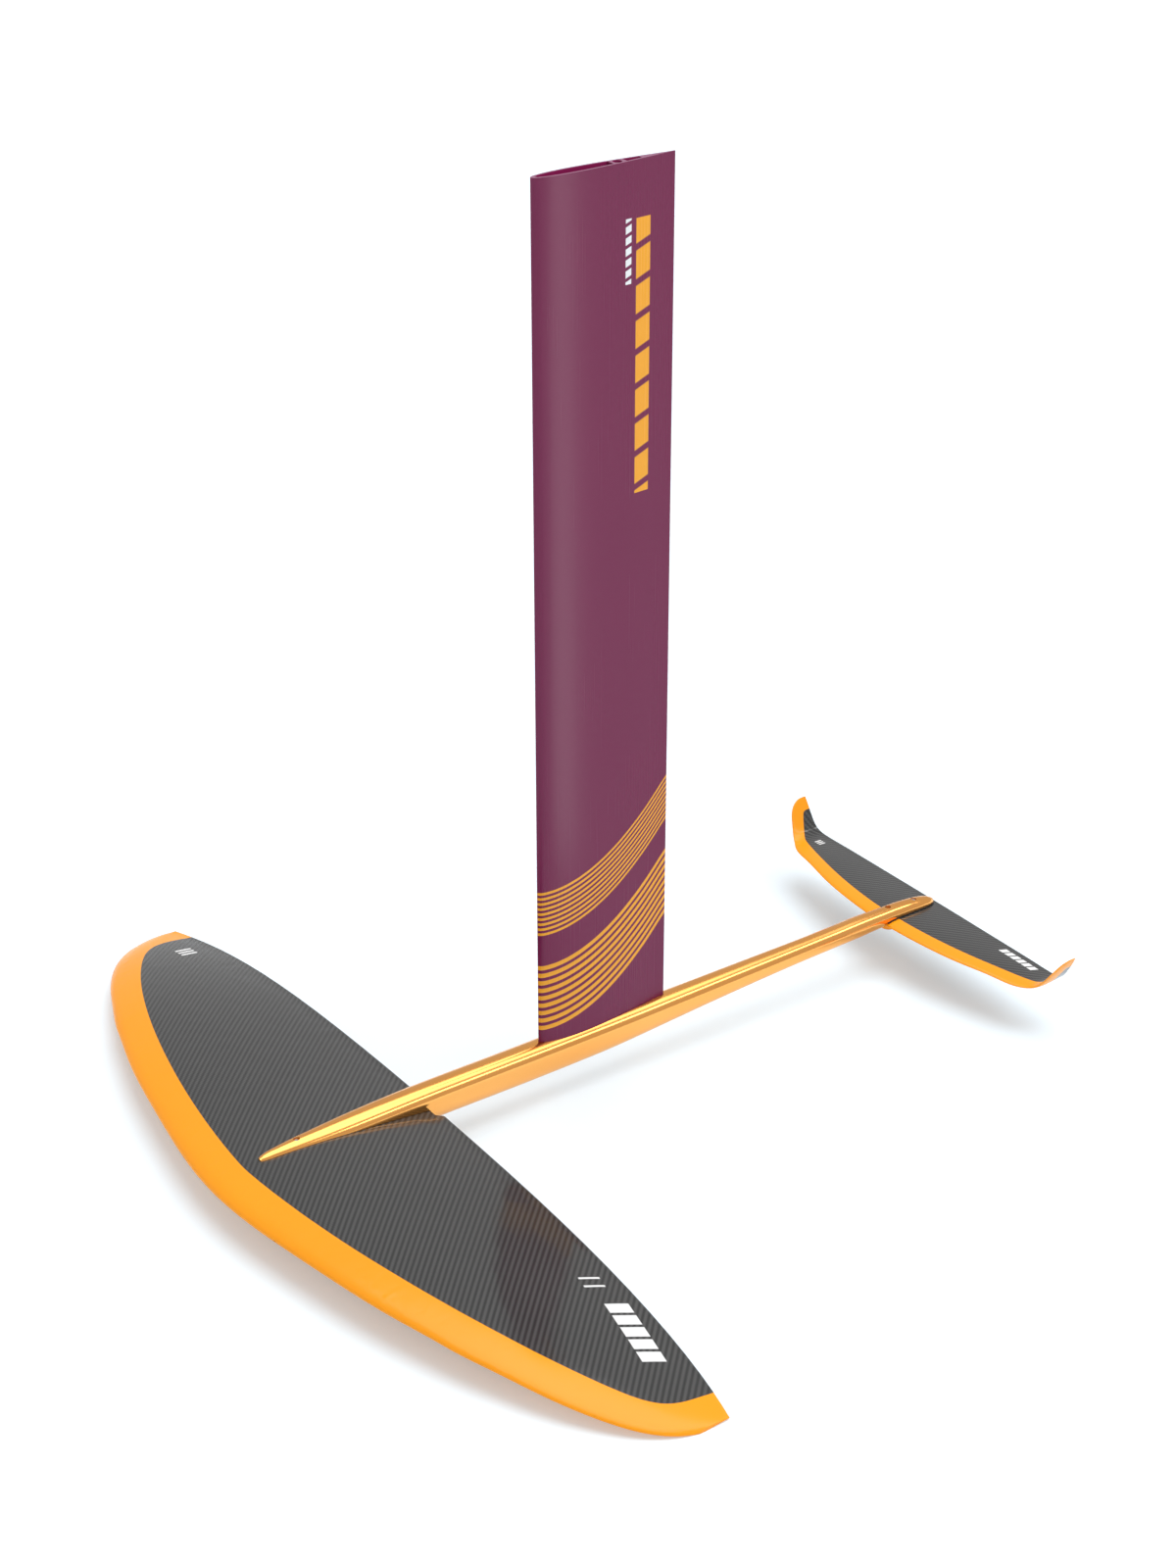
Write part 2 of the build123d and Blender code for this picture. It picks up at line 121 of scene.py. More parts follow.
# The fuselage's stations, from the nose aft: x, half width, and its top, widest place and bottom.
FUSELAGE_STATIONS = (
    (0.3102, 0.0026, -0.0119, -0.0139, -0.0158),
    (0.3062, 0.0044, -0.0099, -0.0139, -0.0176),
    (0.3000, 0.0060, -0.0084, -0.0142, -0.0195),
    (0.2880, 0.0080, -0.0070, -0.0150, -0.0223),
    (0.2700, 0.0103, -0.0054, -0.0156, -0.0266),
    (0.2450, 0.0124, -0.0039, -0.0156, -0.0312),
    (0.2150, 0.0139, -0.0022, -0.0144, -0.0349),
    (0.1800, 0.0148, -0.0008, -0.0133, -0.0372),
    (0.1400, 0.0150, 0.0001, -0.0124, -0.0378),
    (0.0900, 0.0150, 0.0003, -0.0122, -0.0378),
    (0.0000, 0.0150, 0.0003, -0.0122, -0.0377),
    (-0.0700, 0.0148, 0.0003, -0.0121, -0.0365),
    (-0.1200, 0.0143, 0.0004, -0.0118, -0.0336),
    (-0.1600, 0.0137, 0.0006, -0.0114, -0.0306),
    (-0.2200, 0.0129, 0.0010, -0.0107, -0.0262),
    (-0.2900, 0.0120, 0.0015, -0.0100, -0.0220),
    (-0.3600, 0.0113, 0.0022, -0.0090, -0.0192),
    (-0.4200, 0.0107, 0.0030, -0.0075, -0.0170),
    (-0.4500, 0.0103, 0.0027, -0.0073, -0.0165),
    (-0.4750, 0.0096, 0.0014, -0.0077, -0.0159),
    (-0.4920, 0.0082, -0.0009, -0.0084, -0.0153),
    (-0.5020, 0.0058, -0.0038, -0.0094, -0.0145),
    (-0.5065, 0.0032, -0.0064, -0.0102, -0.0137),
)
KEEL_POWER = 2.4


# ---------------------------------------------------------------- node helpers


class Field:
    """A number that varies over a surface, built from Math nodes with ordinary operators."""

    def __init__(self, tree, socket):
        self.tree = tree
        self.socket = socket

    def math(self, operation, *others):
        """A Math node of this field and up to two others."""
        node = self.tree.nodes.new("ShaderNodeMath")
        node.operation = operation
        for slot, value in zip(node.inputs, (self, *others)):
            if isinstance(value, Field):
                self.tree.links.new(value.socket, slot)
            else:
                slot.default_value = value
        return Field(self.tree, node.outputs[0])

    def __add__(self, other):
        return self.math("ADD", other)

    def __sub__(self, other):
        return self.math("SUBTRACT", other)

    def __rsub__(self, other):
        return (self * -1.0) + other

    def __mul__(self, other):
        return self.math("MULTIPLY", other)

    def __truediv__(self, other):
        return self.math("DIVIDE", other)

    def __pow__(self, other):
        return self.math("POWER", other)

    def floor(self):
        """Whole part."""
        return self.math("FLOOR")

    def fract(self):
        """Fractional part."""
        return self.math("FRACT")

    def abs(self):
        """Size without sign."""
        return self.math("ABSOLUTE")

    def smaller(self, other, blend=None):
        """The smaller of two, rounded over a distance where blend is given."""
        if blend is None:
            return self.math("MINIMUM", other)
        return self.math("SMOOTH_MIN", other, blend)

    def larger(self, other):
        """The larger of two."""
        return self.math("MAXIMUM", other)

    def step(self, width):
        """0 below zero and 1 above, over a soft edge of that width."""
        node = self.tree.nodes.new("ShaderNodeMapRange")
        node.interpolation_type = "SMOOTHSTEP"
        node.inputs["From Min"].default_value = -width / 2
        node.inputs["From Max"].default_value = width / 2
        self.tree.links.new(self.socket, node.inputs["Value"])
        return Field(self.tree, node.outputs["Result"])


class Material:
    """A Principled material under construction."""

    def __init__(self, name):
        self.data = bpy.data.materials.new(name)
        self.data.use_nodes = True
        self.tree = self.data.node_tree
        self.shader = self.tree.nodes["Principled BSDF"]
        self.coords = self.tree.nodes.new("ShaderNodeTexCoord")
        split = self.tree.nodes.new("ShaderNodeSeparateXYZ")
        self.tree.links.new(self.coords.outputs["Object"], split.inputs[0])
        self.x, self.y, self.z = [Field(self.tree, split.outputs[i]) for i in range(3)]

    def set(self, **values):
        """Sets sockets that are the same all over, with underscores for spaces."""
        for name, value in values.items():
            self.shader.inputs[name.replace("_", " ")].default_value = value

    def link(self, name, field):
        """Feeds a field or a colour socket to a shader socket."""
        self.tree.links.new(getattr(field, "socket", field), self.shader.inputs[name])

    def mix(self, factor, low, high):
        """A colour between two, which are colours or sockets."""
        node = self.tree.nodes.new("ShaderNodeMix")
        node.data_type = "RGBA"
        for slot, value in ((0, factor), (6, low), (7, high)):
            if isinstance(value, (Field, bpy.types.NodeSocket)):
                self.tree.links.new(getattr(value, "socket", value), node.inputs[slot])
            else:
                node.inputs[slot].default_value = (*value, 1.0) if slot else value
        return node.outputs[2]

    def noise(self, scale, detail=2.0, stretch=(1, 1, 1)):
        """Smooth noise from 0 to 1, drawn out by stretch."""
        mapping = self.tree.nodes.new("ShaderNodeMapping")
        mapping.inputs["Scale"].default_value = [scale * s for s in stretch]
        self.tree.links.new(self.coords.outputs["Object"], mapping.inputs["Vector"])
        node = self.tree.nodes.new("ShaderNodeTexNoise")
        node.inputs["Scale"].default_value = 1.0
        node.inputs["Detail"].default_value = detail
        self.tree.links.new(mapping.outputs[0], node.inputs["Vector"])
        return Field(self.tree, node.outputs["Fac"])

    def normal_parts(self, *axes):
        """The surface direction along some of the X, Y and Z axes, 0, 1 and 2."""
        geometry = self.tree.nodes.new("ShaderNodeNewGeometry")
        split = self.tree.nodes.new("ShaderNodeSeparateXYZ")
        self.tree.links.new(geometry.outputs["Normal"], split.inputs[0])
        return [Field(self.tree, split.outputs[axis]) for axis in axes]

    def bump(self, height, depth, strength):
        """Raises the surface by a field times a depth in metres."""
        node = self.tree.nodes.new("ShaderNodeBump")
        node.inputs["Strength"].default_value = strength
        node.inputs["Distance"].default_value = depth
        self.tree.links.new(height.socket, node.inputs["Height"])
        self.tree.links.new(node.outputs[0], self.shader.inputs["Normal"])


# ---------------------------------------------------------------- materials

PLUM = (0.160, 0.0090, 0.056)
PLUM_INSIDE = (0.36, 0.020, 0.130)
PLUM_CUT = (0.30, 0.090, 0.190)
PRINT_ORANGE = (0.86, 0.36, 0.020)
PAINT_ORANGE = (0.98, 0.34, 0.004)
GOLD = (1.0, 0.47, 0.13)
GOLD_DEEP = (0.97, 0.423, 0.104)
PRINT_WHITE = (0.80, 0.80, 0.80)
# The carbon cloth goes from CLOTH_DARK to CLOTH_PALE: the pale end is the twill's painted sheen on its
# warp tows and painted highlight on each tow's crown.
CLOTH_DARK = (0.009, 0.009, 0.0093)
CLOTH_PALE = (0.086, 0.085, 0.084)
CLOTH_CLOUD = (0.02, 0.02, 0.02)

# How soft the edges of prints and paint are, in metres.
SOFT_EDGE = 0.0004

# The mast's print, up from the fuselage and back from the leading edge. A sheaf of wave lines has
# its low and high limits, pitch and the lines' share of the pitch. A column of bars has its front
# and rear limits before those.
WAVE_CURVE = 3.6
WAVE_SHEAVES = ((0.012, 0.0875, 0.0084, 0.56), (0.118, 0.1675, 0.0055, 0.50))
BAR_LEAN = 0.35
MAIN_BARS = (0.1065, 0.1225, 0.5465, 0.7990, 0.0316, 0.80)
SMALL_BARS = (0.0945, 0.1010, 0.7420, 0.8000, 0.0097, 0.66)

# Rows of bars near the wings' tips. Each has its low x and y, its depth and length, the slopes of
# the row, x over y, and of its bars, y over x, the pitch and the bars' share of the pitch.
FRONT_WING_ROWS = (
    ((0.1405, 0.3400), (0.0215, 0.076), (0.17, -BAR_LEAN), 0.0152, 0.78),
    ((0.1430, 0.2980), (0.0190, 0.022), (0.17, -BAR_LEAN), 0.0110, 0.22),
    ((0.1570, -0.4260), (0.0180, 0.021), (0.0, 0.0), 0.0070, 0.55),
)
STABILISER_ROWS = (
    ((-0.5045, 0.1180), (0.0085, 0.050), (0.0, -BAR_LEAN), 0.0083, 0.76),
    ((-0.4985, -0.1760), (0.0085, 0.0105), (0.0, 0.0), 0.0035, 0.55),
)


def shade(colour, share):
    """A colour made darker or lighter by a share."""
    return [part * share for part in colour]


def between(factor, low, high):
    """A number that goes from low to high as a field goes from 0 to 1."""
    return factor * (high - low) + low


def stripes(field, pitch, share):
    """1 inside evenly spaced lines that take that share of the pitch."""
    offset = ((field / pitch).fract() - 0.5).abs()
    return (share / 2 - offset).step(0.05)


def inside(field, low, high):
    """1 between two limits."""
    return (field - low).smaller(high - field).step(SOFT_EDGE)


def bar_column(height, back, front, rear, low, high, pitch, share):
    """A column of slanted bars on the mast."""
    column = inside(back, front, rear) * inside(height, low, high)
    return column * stripes(height - low - back * BAR_LEAN, pitch, share)


def mast_print(height, back):
    """The mast's print: two sheaves of wave lines near its foot, and a column of bars above them."""
    wave = height - back * back * WAVE_CURVE
    sheaves = [
        inside(wave, low, high) * stripes(wave - low, pitch, share)
        for low, high, pitch, share in WAVE_SHEAVES
    ]
    return reduce(Field.larger, sheaves, bar_column(height, back, *MAIN_BARS))


def plum_anodised():
    """Satin plum anodising with its die lines, print, bare inside and cut end."""
    m = Material("plum_anodised")
    height = m.z + MAST_EXPOSED
    back = MAST_LE - m.x
    across, up = m.normal_parts(1, 2)
    outward = (m.y * across).step(0.0002)

    die_lines = m.noise(900.0, stretch=(1.0, 1.0, 0.004))
    clouds = m.noise(7.0, 3.0)
    colour = m.mix(clouds, shade(PLUM, 0.96), shade(PLUM, 1.04))
    colour = m.mix(outward, PLUM_INSIDE, colour)
    colour = m.mix(mast_print(height, back) * outward, colour, PRINT_ORANGE)
    colour = m.mix(bar_column(height, back, *SMALL_BARS) * outward, colour, PRINT_WHITE)
    saw_marks = m.noise(600.0, stretch=(0.05, 1.0, 1.0))
    cut = (up.abs() - 0.9).step(0.1)
    colour = m.mix(cut, colour, m.mix(saw_marks, shade(PLUM_CUT, 0.8), PLUM_CUT))
    m.link("Base Color", colour)
    m.link("Roughness", die_lines * 0.05 + clouds * 0.04 + 0.22)
    m.set(Specular_IOR_Level=0.30)
    m.bump(die_lines, 0.000006, 0.12)
    return m.data


def orange_anodised():
    """Bright orange anodising over finely turned aluminium."""
    m = Material("orange_anodised")
    turning = m.noise(900.0, stretch=(1.0, 0.03, 0.03))
    clouds = m.noise(12.0, 3.0)
    m.link("Base Color", m.mix(clouds, GOLD_DEEP, GOLD))
    m.link("Roughness", turning * 0.06 + clouds * 0.03 + 0.10)
    m.set(Metallic=1.0)
    m.bump(turning, 0.000004, 0.15)
    return m.data


def twill(m, tow, lean):
    """Two-by-two twill: a brightness, painted sheen included, and a height. lean, 1 or -1, is the way
    its diagonals run.
    """
    # The pattern repeats every four tows, over two and under two.
    i = m.x / tow
    j = m.y / tow * lean
    phase = ((i.floor() - j.floor()) / 4.0).fract()
    warp = (0.49 - phase).step(0.01)
    over_x = i.fract() * 2.0 - 1.0
    over_y = j.fract() * 2.0 - 1.0
    crown = (1.0 - over_x * over_x) * warp + (1.0 - over_y * over_y) * (1.0 - warp)
    fine, drawn = 4200.0, 600.0
    warp_fibres = m.noise(1.0, stretch=(fine, drawn, drawn)) * warp
    fibres = warp_fibres + m.noise(1.0, stretch=(drawn, fine, drawn))
    # The warp tows are painted lighter than the weft as a painted sheen, and each tow's crown is
    # painted lighter as a painted highlight; the fibres are the cloth's own grain.
    return warp * 0.50 + crown * 0.22 + fibres * 0.16, crown


def painted_carbon(name, tow, lean, inside_line, rows):
    """Twill with painted sheen under clear lacquer inside a smooth line, and orange paint outside it.
    """
    m = Material(name)
    weave_and_sheen, crown = twill(m, tow, lean)
    carbon = inside_line(m).step(SOFT_EDGE)
    clouds = m.noise(9.0)
    # The cloth's colour carries the twill's pattern together with its painted sheen and painted
    # highlight.
    cloth = m.mix(weave_and_sheen, CLOTH_DARK, CLOTH_PALE)
    cloth = m.mix(clouds * 0.25, cloth, CLOTH_CLOUD)
    paint = m.mix(clouds, shade(PAINT_ORANGE, 0.96), PAINT_ORANGE)
    colour = m.mix(carbon, paint, cloth)
    marks = reduce(Field.larger, [bar_row(m, *row) for row in rows])
    m.link("Base Color", m.mix(marks * carbon, colour, PRINT_WHITE))
    m.link("Roughness", between(carbon, 0.35, 0.45))
    m.link("Coat Weight", between(carbon, 0.55, 1.00))
    m.link("Coat Roughness", between(carbon, 0.20, 0.12))
    m.set(Specular_IOR_Level=0.05, Coat_IOR=1.5)
    peel = m.noise(140.0, 1.0)
    m.bump(crown * carbon * 0.5 + peel * 0.3, 0.000012, 0.3)
    return m.data


def front_wing_line(m):
    """Distance inside the front wing's paint line, which follows the leading edge."""
    u = m.y.abs() / WING_SPAN_REF
    inner_power, outer_power = WING_PLAN_POWERS
    sweep, tip_sweep = WING_TE_SWEEP
    chord = ((1.0 - u**inner_power).larger(0.0) ** outer_power) * WING_ROOT_CHORD
    leading = chord + (u**4.0) * sweep + (u**8.0) * tip_sweep + (WING_TE_X + MAST_LE)
    behind = leading - m.x - (u**4.0) * WING_BAND_GROWTH - WING_BAND
    return behind.smaller(WING_BAND_END - m.y.abs(), WING_BAND_ROUNDING)


def stabiliser_line(m):
    """Distance inside the stabiliser's paint line, which turns up into the winglets."""
    u = m.y.abs() / STAB_SPAN_REF
    outboard = (m.y.abs() - STAB_WINGLET_Y).larger(0.0)
    leading = (STAB_LE_X + MAST_LE) - (u**STAB_SWEEP_POWER) * STAB_SWEEP
    behind = leading - outboard * STAB_WINGLET_SWEEP - m.x - STAB_BAND
    return behind.smaller(STAB_BAND_TOP - MAST_EXPOSED - m.z, STAB_BAND_ROUNDING)


def bar_row(m, low, size, slopes, pitch, share):
    """A slanted row of plain bars on a wing."""
    along = m.y - low[1]
    across = m.x - (low[0] + MAST_LE) - along * slopes[0]
    leant = along - across * slopes[1]
    row = inside(across, 0.0, size[0]) * inside(leant, 0.0, size[1])
    return row * stripes(leant, pitch, share)


def worked_metal(name, colour, roughness, scale, stretch):
    """Machined or rolled metal with fine tool lines."""
    m = Material(name)
    lines = m.noise(scale, 3.0, stretch)
    m.link("Base Color", m.mix(lines, shade(colour, 0.85), colour))
    m.link("Roughness", lines * 0.15 + roughness)
    m.set(Metallic=1.0)
    m.bump(lines, 0.00001, 0.3)
    return m.data


def closed_foam():
    """Closed-cell foam, seen only when a wing is cut open."""
    m = Material("closed_foam")
    cells = m.noise(900.0, 4.0)
    m.link("Base Color", m.mix(cells, (0.62, 0.50, 0.28), (0.86, 0.76, 0.50)))
    m.set(Roughness=0.9)
    m.bump(cells, 0.0003, 0.6)
    return m.data


def laminate():
    """Pressed carbon plies."""
    m = Material("pressed_laminate")
    plies = stripes(m.z, 0.0005, 0.5)
    fibres = m.noise(1500.0, stretch=(0.1, 1.0, 1.0))
    grey = plies * 0.5 + fibres * 0.5
    m.link("Base Color", m.mix(grey, (0.012, 0.012, 0.013), (0.06, 0.06, 0.062)))
    m.link("Roughness", fibres * 0.2 + 0.45)
    m.bump(fibres, 0.00005, 0.4)
    return m.data


def gloss_paint():
    """Orange paint with a little orange peel, on the pad under the stabiliser."""
    m = Material("gloss_paint")
    clouds = m.noise(60.0)
    m.link("Base Color", m.mix(clouds, shade(PAINT_ORANGE, 0.90), PAINT_ORANGE))
    m.link("Roughness", clouds * 0.06 + 0.32)
    m.set(Specular_IOR_Level=0.05, Coat_Weight=0.75, Coat_Roughness=0.20, Coat_IOR=1.38)
    m.bump(m.noise(200.0, 1.0), 0.00002, 0.3)
    return m.data


def black_plastic():
    """Moulded black plastic with a fine grain."""
    m = Material("black_plastic")
    grain = m.noise(1200.0, 3.0)
    m.link("Base Color", m.mix(grain, (0.008, 0.008, 0.008), (0.02, 0.02, 0.021)))
    m.link("Roughness", grain * 0.2 + 0.4)
    m.bump(grain, 0.00004, 0.4)
    return m.data


def assign(material, *objects):
    """Gives CAD nodes or pieces one material."""
    for item in objects:
        mesh = (NODES[item] if isinstance(item, str) else item).data
        mesh.materials.clear()
        mesh.materials.append(material)


# ---------------------------------------------------------------- smooth skins

# Points nearer than WELD are one. Edges that are too long are halved, up to HALVINGS times, and
# those sharper than SHARP_SKIN stay sharp. A corner takes the exact direction where the cosine
# between that and its face's is over FACING, or where the face is a sliver, whose own direction
# is noise. Empty faces are left out.
WELD = 1e-7
HALVINGS = 6
SHARP_SKIN = radians(25.0)
FACING = 0.75
SLIVER_AREA = 2e-8
EMPTY_AREA = 1e-10

# How near a point has to be to the exact surface to take its direction: in shares of the
# fuselage's section and in metres on the wing, where every point of the nose takes it.
FUSELAGE_NEAR = 0.12
WING_NEAR = 0.0004
WING_NOSE = 0.12


def link_object(name, data):
    """A new object in the scene."""
    made = bpy.data.objects.new(name, data)
    bpy.context.scene.collection.objects.link(made)
    return made


def spline_rows(rows, x):
    """Station values at each x, on a smooth curve through the rows, which run towards lower x."""
    table = np.array(rows)[::-1]
    places, values = table[:, 0], table[:, 1:]
    slopes = np.gradient(values, places, axis=0)
    k = np.clip(np.searchsorted(places, x) - 1, 0, len(places) - 2)
    width = (places[k + 1] - places[k])[:, None]
    t = np.clip((x - places[k])[:, None] / width, 0.0, 1.0)
    rise = values[k + 1] - values[k]
    ease = t * t * (3 - 2 * t)
    ends = width * (slopes[k] * t * (1 - t) ** 2 - slopes[k + 1] * t * t * (1 - t))
    return values[k] + rise * ease + ends


def fuselage_normals(points):
    """Outward directions of the fuselage's sections, and which points lie on them."""

    def level(at):
        half_width, top, waist, bottom = spline_rows(FUSELAGE_STATIONS, at[:, 0] - MAST_LE).T
        rise = at[:, 2] + MAST_EXPOSED - waist
        above = rise > 0
        power = np.where(above, 2.0, KEEL_POWER)
        height = np.where(above, top - waist, waist - bottom)
        return np.abs(at[:, 1] / half_width) ** power + np.abs(rise / height) ** power

    step = 0.0002
    slopes = [level(points + d) - level(points - d) for d in np.eye(3) * step]
    near = np.abs(level(points) - 1) < FUSELAGE_NEAR
    return np.stack(slopes, axis=1), near


def wing_edges(y):
    """Leading edge x and z and trailing edge x and z of the front wing at each y."""
    u = np.minimum(np.abs(y) / WING_SPAN_REF, 0.9999)
    inner_power, outer_power = WING_PLAN_POWERS
    sweep, tip_sweep = WING_TE_SWEEP
    droop, outer_droop, tip_droop = WING_TE_DROOP
    te_x = WING_TE_X + sweep * u**4 + tip_sweep * u**8
    te_z = WING_TE_Z - droop * u**2 - outer_droop * u**4 - tip_droop * u**8
    le_z = WING_LE_Z - WING_LE_DROOP * u**WING_LE_DROOP_POWER
    return te_x + WING_ROOT_CHORD * (1 - u**inner_power) ** outer_power, le_z, te_x, te_z


def wing_surface(root, y):
    """Points on the front wing, root being the signed square root of the fraction behind its edge."""
    le_x, le_z, te_x, te_z = wing_edges(y)
    s = root * root
    at = WING_CAMBER_AT
    front = WING_CAMBER / at**2 * (2 * at * s - s**2)
    rear = WING_CAMBER / (1 - at) ** 2 * (1 - 2 * at + 2 * at * s - s**2)
    body = sum(term * s**power for power, term in enumerate(SECTION_TERMS, start=1))
    half = 5 * WING_THICKNESS * (SECTION_ROOT_TERM * root + np.sign(root) * body)
    z = le_z + s * (te_z - le_z) + (le_x - te_x) * (np.where(s < at, front, rear) + half)
    return np.stack([le_x - s * (le_x - te_x), y, z], axis=1)


def wing_normals(points):
    """Outward directions of the front wing's skin, and which points lie on it."""
    x, y, z = points[:, 0] - MAST_LE, points[:, 1], points[:, 2] + MAST_EXPOSED
    le_x, _, te_x, _ = wing_edges(y)
    size = np.sqrt(np.clip((le_x - x) / (le_x - te_x), 0.0, 1.0))
    upper, lower = wing_surface(size, y)[:, 2], wing_surface(-size, y)[:, 2]
    root = np.where(z > (upper + lower) / 2, size, -size)
    off = np.minimum(np.abs(z - upper), np.abs(z - lower))
    step = 0.0005
    chordwise = wing_surface(root + step, y) - wing_surface(root - step, y)
    spanwise = wing_surface(root, y + step) - wing_surface(root, y - step)
    near = (off < WING_NEAR) | (size < WING_NOSE)
    return np.cross(chordwise, spanwise), near


def cut_finer(node, longest):
    """A copy of a node's mesh with its long edges cut and its empty faces left out."""
    bm = bmesh.new()
    bm.from_mesh(NODES[node].data)
    bmesh.ops.remove_doubles(bm, verts=bm.verts, dist=WELD)
    for _ in range(HALVINGS):
        long_edges = [edge for edge in bm.edges if edge.calc_length() > longest]
        if not long_edges:
            break
        bmesh.ops.subdivide_edges(bm, edges=long_edges, cuts=1)
        bmesh.ops.triangulate(bm, faces=[face for face in bm.faces if len(face.verts) > 3])
    empty = [face for face in bm.faces if face.calc_area() < EMPTY_AREA]
    bmesh.ops.delete(bm, geom=empty, context="FACES_ONLY")
    mesh = bpy.data.meshes.new(node + "_smooth")
    bm.to_mesh(mesh)
    bm.free()
    if "custom_normal" in mesh.attributes:
        mesh.attributes.remove(mesh.attributes["custom_normal"])
    return mesh


def read(items, name, width, kind=np.float32):
    """One attribute of all of a mesh's items, as rows of that width."""
    values = np.empty(len(items) * width, dtype=kind)
    items.foreach_get(name, values)
    return values.reshape(-1, width)


def smooth_copy(node, body, longest, normals_at):
    """Stands for a node with a copy of its mesh, cut finer and shaded with its exact curvature."""
    mesh = cut_finer(node, longest)
    mesh.shade_smooth()
    mesh.set_sharp_from_angle(angle=SHARP_SKIN)
    own = read(mesh.corner_normals, "vector", 3)
    vertex = read(mesh.loops, "vertex_index", 1, np.int32)[:, 0]
    points = read(mesh.vertices, "co", 3).astype(float)
    flat = np.repeat(read(mesh.polygons, "normal", 3), 3, axis=0)
    sliver = np.repeat(read(mesh.polygons, "area", 1)[:, 0], 3) < SLIVER_AREA
    exact, near = normals_at(points)
    exact /= np.maximum(np.linalg.norm(exact, axis=1), 1e-12)[:, None]
    exact = exact[vertex]
    agree = near[vertex] & (((exact * flat).sum(axis=1) > FACING) | sliver)
    mesh.normals_split_custom_set(np.where(agree[:, None], exact, own).tolist())

    piece = link_object(node + "_smooth", mesh)
    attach(piece, body)
    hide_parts(node)
    return piece


# ---------------------------------------------------------------- threaded screws

# Head radius, shank radius, socket across flats and thread pitch.
M8_SIZE = (0.0080, 0.0040, 0.0050, 0.00125)
M6_SIZE = (0.0060, 0.00295, 0.0040, 0.0010)

# Every screw's chamfer, straight rim, plain neck and plain tip, in metres.
SCREW_CHAMFER = 0.00025
SCREW_RIM = 0.0006
SCREW_NECK = 0.0004
SCREW_TIP = 0.0009

# Shares of the shank's radius: the socket's depth, and the radius at the neck, the thread's crest
# and the end. The thread's depth is a share of its pitch.
SOCKET_DEPTH = 0.9
NECK_RADIUS = 0.97
CREST_RADIUS = 0.985
END_RADIUS = 0.72
THREAD_DEPTH = 0.6
THREAD_FLANK = 1.35

# The sides and rows of a screw's mesh. The thread fades in and out over some rows.
SCREW_SIDES = 48
ROWS_PER_TURN = 8
FADE_ROWS = 10
SHARP_SCREW = radians(32.0)


def screw_places(node):
    """The axis x and the lowest and highest z of each screw in a node."""
    points = sorted((v.co.x, v.co.z) for v in NODES[node].data.vertices)
    groups, gap = [[points[0]]], 0.005
    for point in points[1:]:
        if point[0] - groups[-1][-1][0] > gap:
            groups.append([])
        groups[-1].append(point)
    columns = [tuple(zip(*group)) for group in groups]
    return [((min(xs) + max(xs)) / 2, min(zs), max(zs)) for xs, zs in columns]


def ring(bm, x, z, radius_at):
    """A ring of vertices about an upright axis at x, with a radius for each angle."""
    made = []
    for k in range(SCREW_SIDES):
        angle = tau * k / SCREW_SIDES
        radius = radius_at(angle)
        made.append(bm.verts.new((x + radius * cos(angle), radius * sin(angle), z)))
    return made


def bridge(bm, lower, upper):
    """Faces between two rings."""
    for k in range(SCREW_SIDES):
        n = (k + 1) % SCREW_SIDES
        bm.faces.new((lower[k], lower[n], upper[n], upper[k]))


def hexagon(flats):
    """The radius of a hexagon at an angle, from its width across flats."""
    return lambda angle: flats / 2 / cos((angle + 1e-9) % (pi / 3) - pi / 6)


def thread_rows(z_start, z_end, shank, pitch):
    """The height and the radius at each angle of a rolled thread's rows of vertices."""
    rise = pitch / ROWS_PER_TURN
    last = int((z_end - z_start) / rise)
    for row in range(last + 1):
        z = z_start + row * pitch / ROWS_PER_TURN
        fade = min(1.0, row / FADE_ROWS, (last - row) / FADE_ROWS)

        def radius_at(angle, z=z, fade=fade):
            phase = (z / pitch - angle / tau) % 1.0
            valley = 1 - min(1.0, abs(2 * phase - 1) * THREAD_FLANK)
            return shank * CREST_RADIUS - THREAD_DEPTH * pitch * fade * valley

        yield z, radius_at


def add_screw(bm, x, z_face, z_tip, size):
    """One countersunk screw, head down, with a hex socket and a rolled thread."""
    head, shank, socket, pitch = size
    overhang = head - shank
    socket_end = z_face + shank * SOCKET_DEPTH
    cone = z_face + SCREW_RIM
    neck = cone + overhang * 1.15
    outline = [
        (socket_end, hexagon(socket)),
        (z_face + SCREW_CHAMFER, hexagon(socket)),
        (z_face, hexagon(socket + 2 * SCREW_CHAMFER)),
        (z_face, lambda angle: head - SCREW_CHAMFER),
        (z_face + SCREW_CHAMFER, lambda angle: head),
        (cone, lambda angle: head),
        (cone + overhang * 0.9, lambda angle: shank + overhang * 0.1),
        (neck, lambda angle: shank * NECK_RADIUS),
        *thread_rows(neck + SCREW_NECK, z_tip - SCREW_TIP, shank, pitch),
        (z_tip, lambda angle: shank * END_RADIUS),
    ]
    rings = [ring(bm, x, z, radius_at) for z, radius_at in outline]
    for lower, upper in zip(rings, rings[1:]):
        bridge(bm, lower, upper)
    bm.faces.new(rings[-1][::-1])
    centre = bm.verts.new((x, 0.0, socket_end + socket * 0.2))
    for k, corner in enumerate(rings[0]):
        bm.faces.new((centre, corner, rings[0][(k + 1) % SCREW_SIDES]))


def make_screws(node, size):
    """Stands for a node of plain screws with threaded ones in the same places."""
    bm = bmesh.new()
    for x, z_face, z_tip in screw_places(node):
        add_screw(bm, x, z_face, z_tip, size)
    bmesh.ops.recalc_face_normals(bm, faces=bm.faces)
    mesh = bpy.data.meshes.new(node + "_threaded")
    bm.to_mesh(mesh)
    bm.free()
    mesh.shade_smooth()
    mesh.set_sharp_from_angle(angle=SHARP_SCREW)
    piece = link_object(node + "_threaded", mesh)
    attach(piece, node)
    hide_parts(node)
    return piece


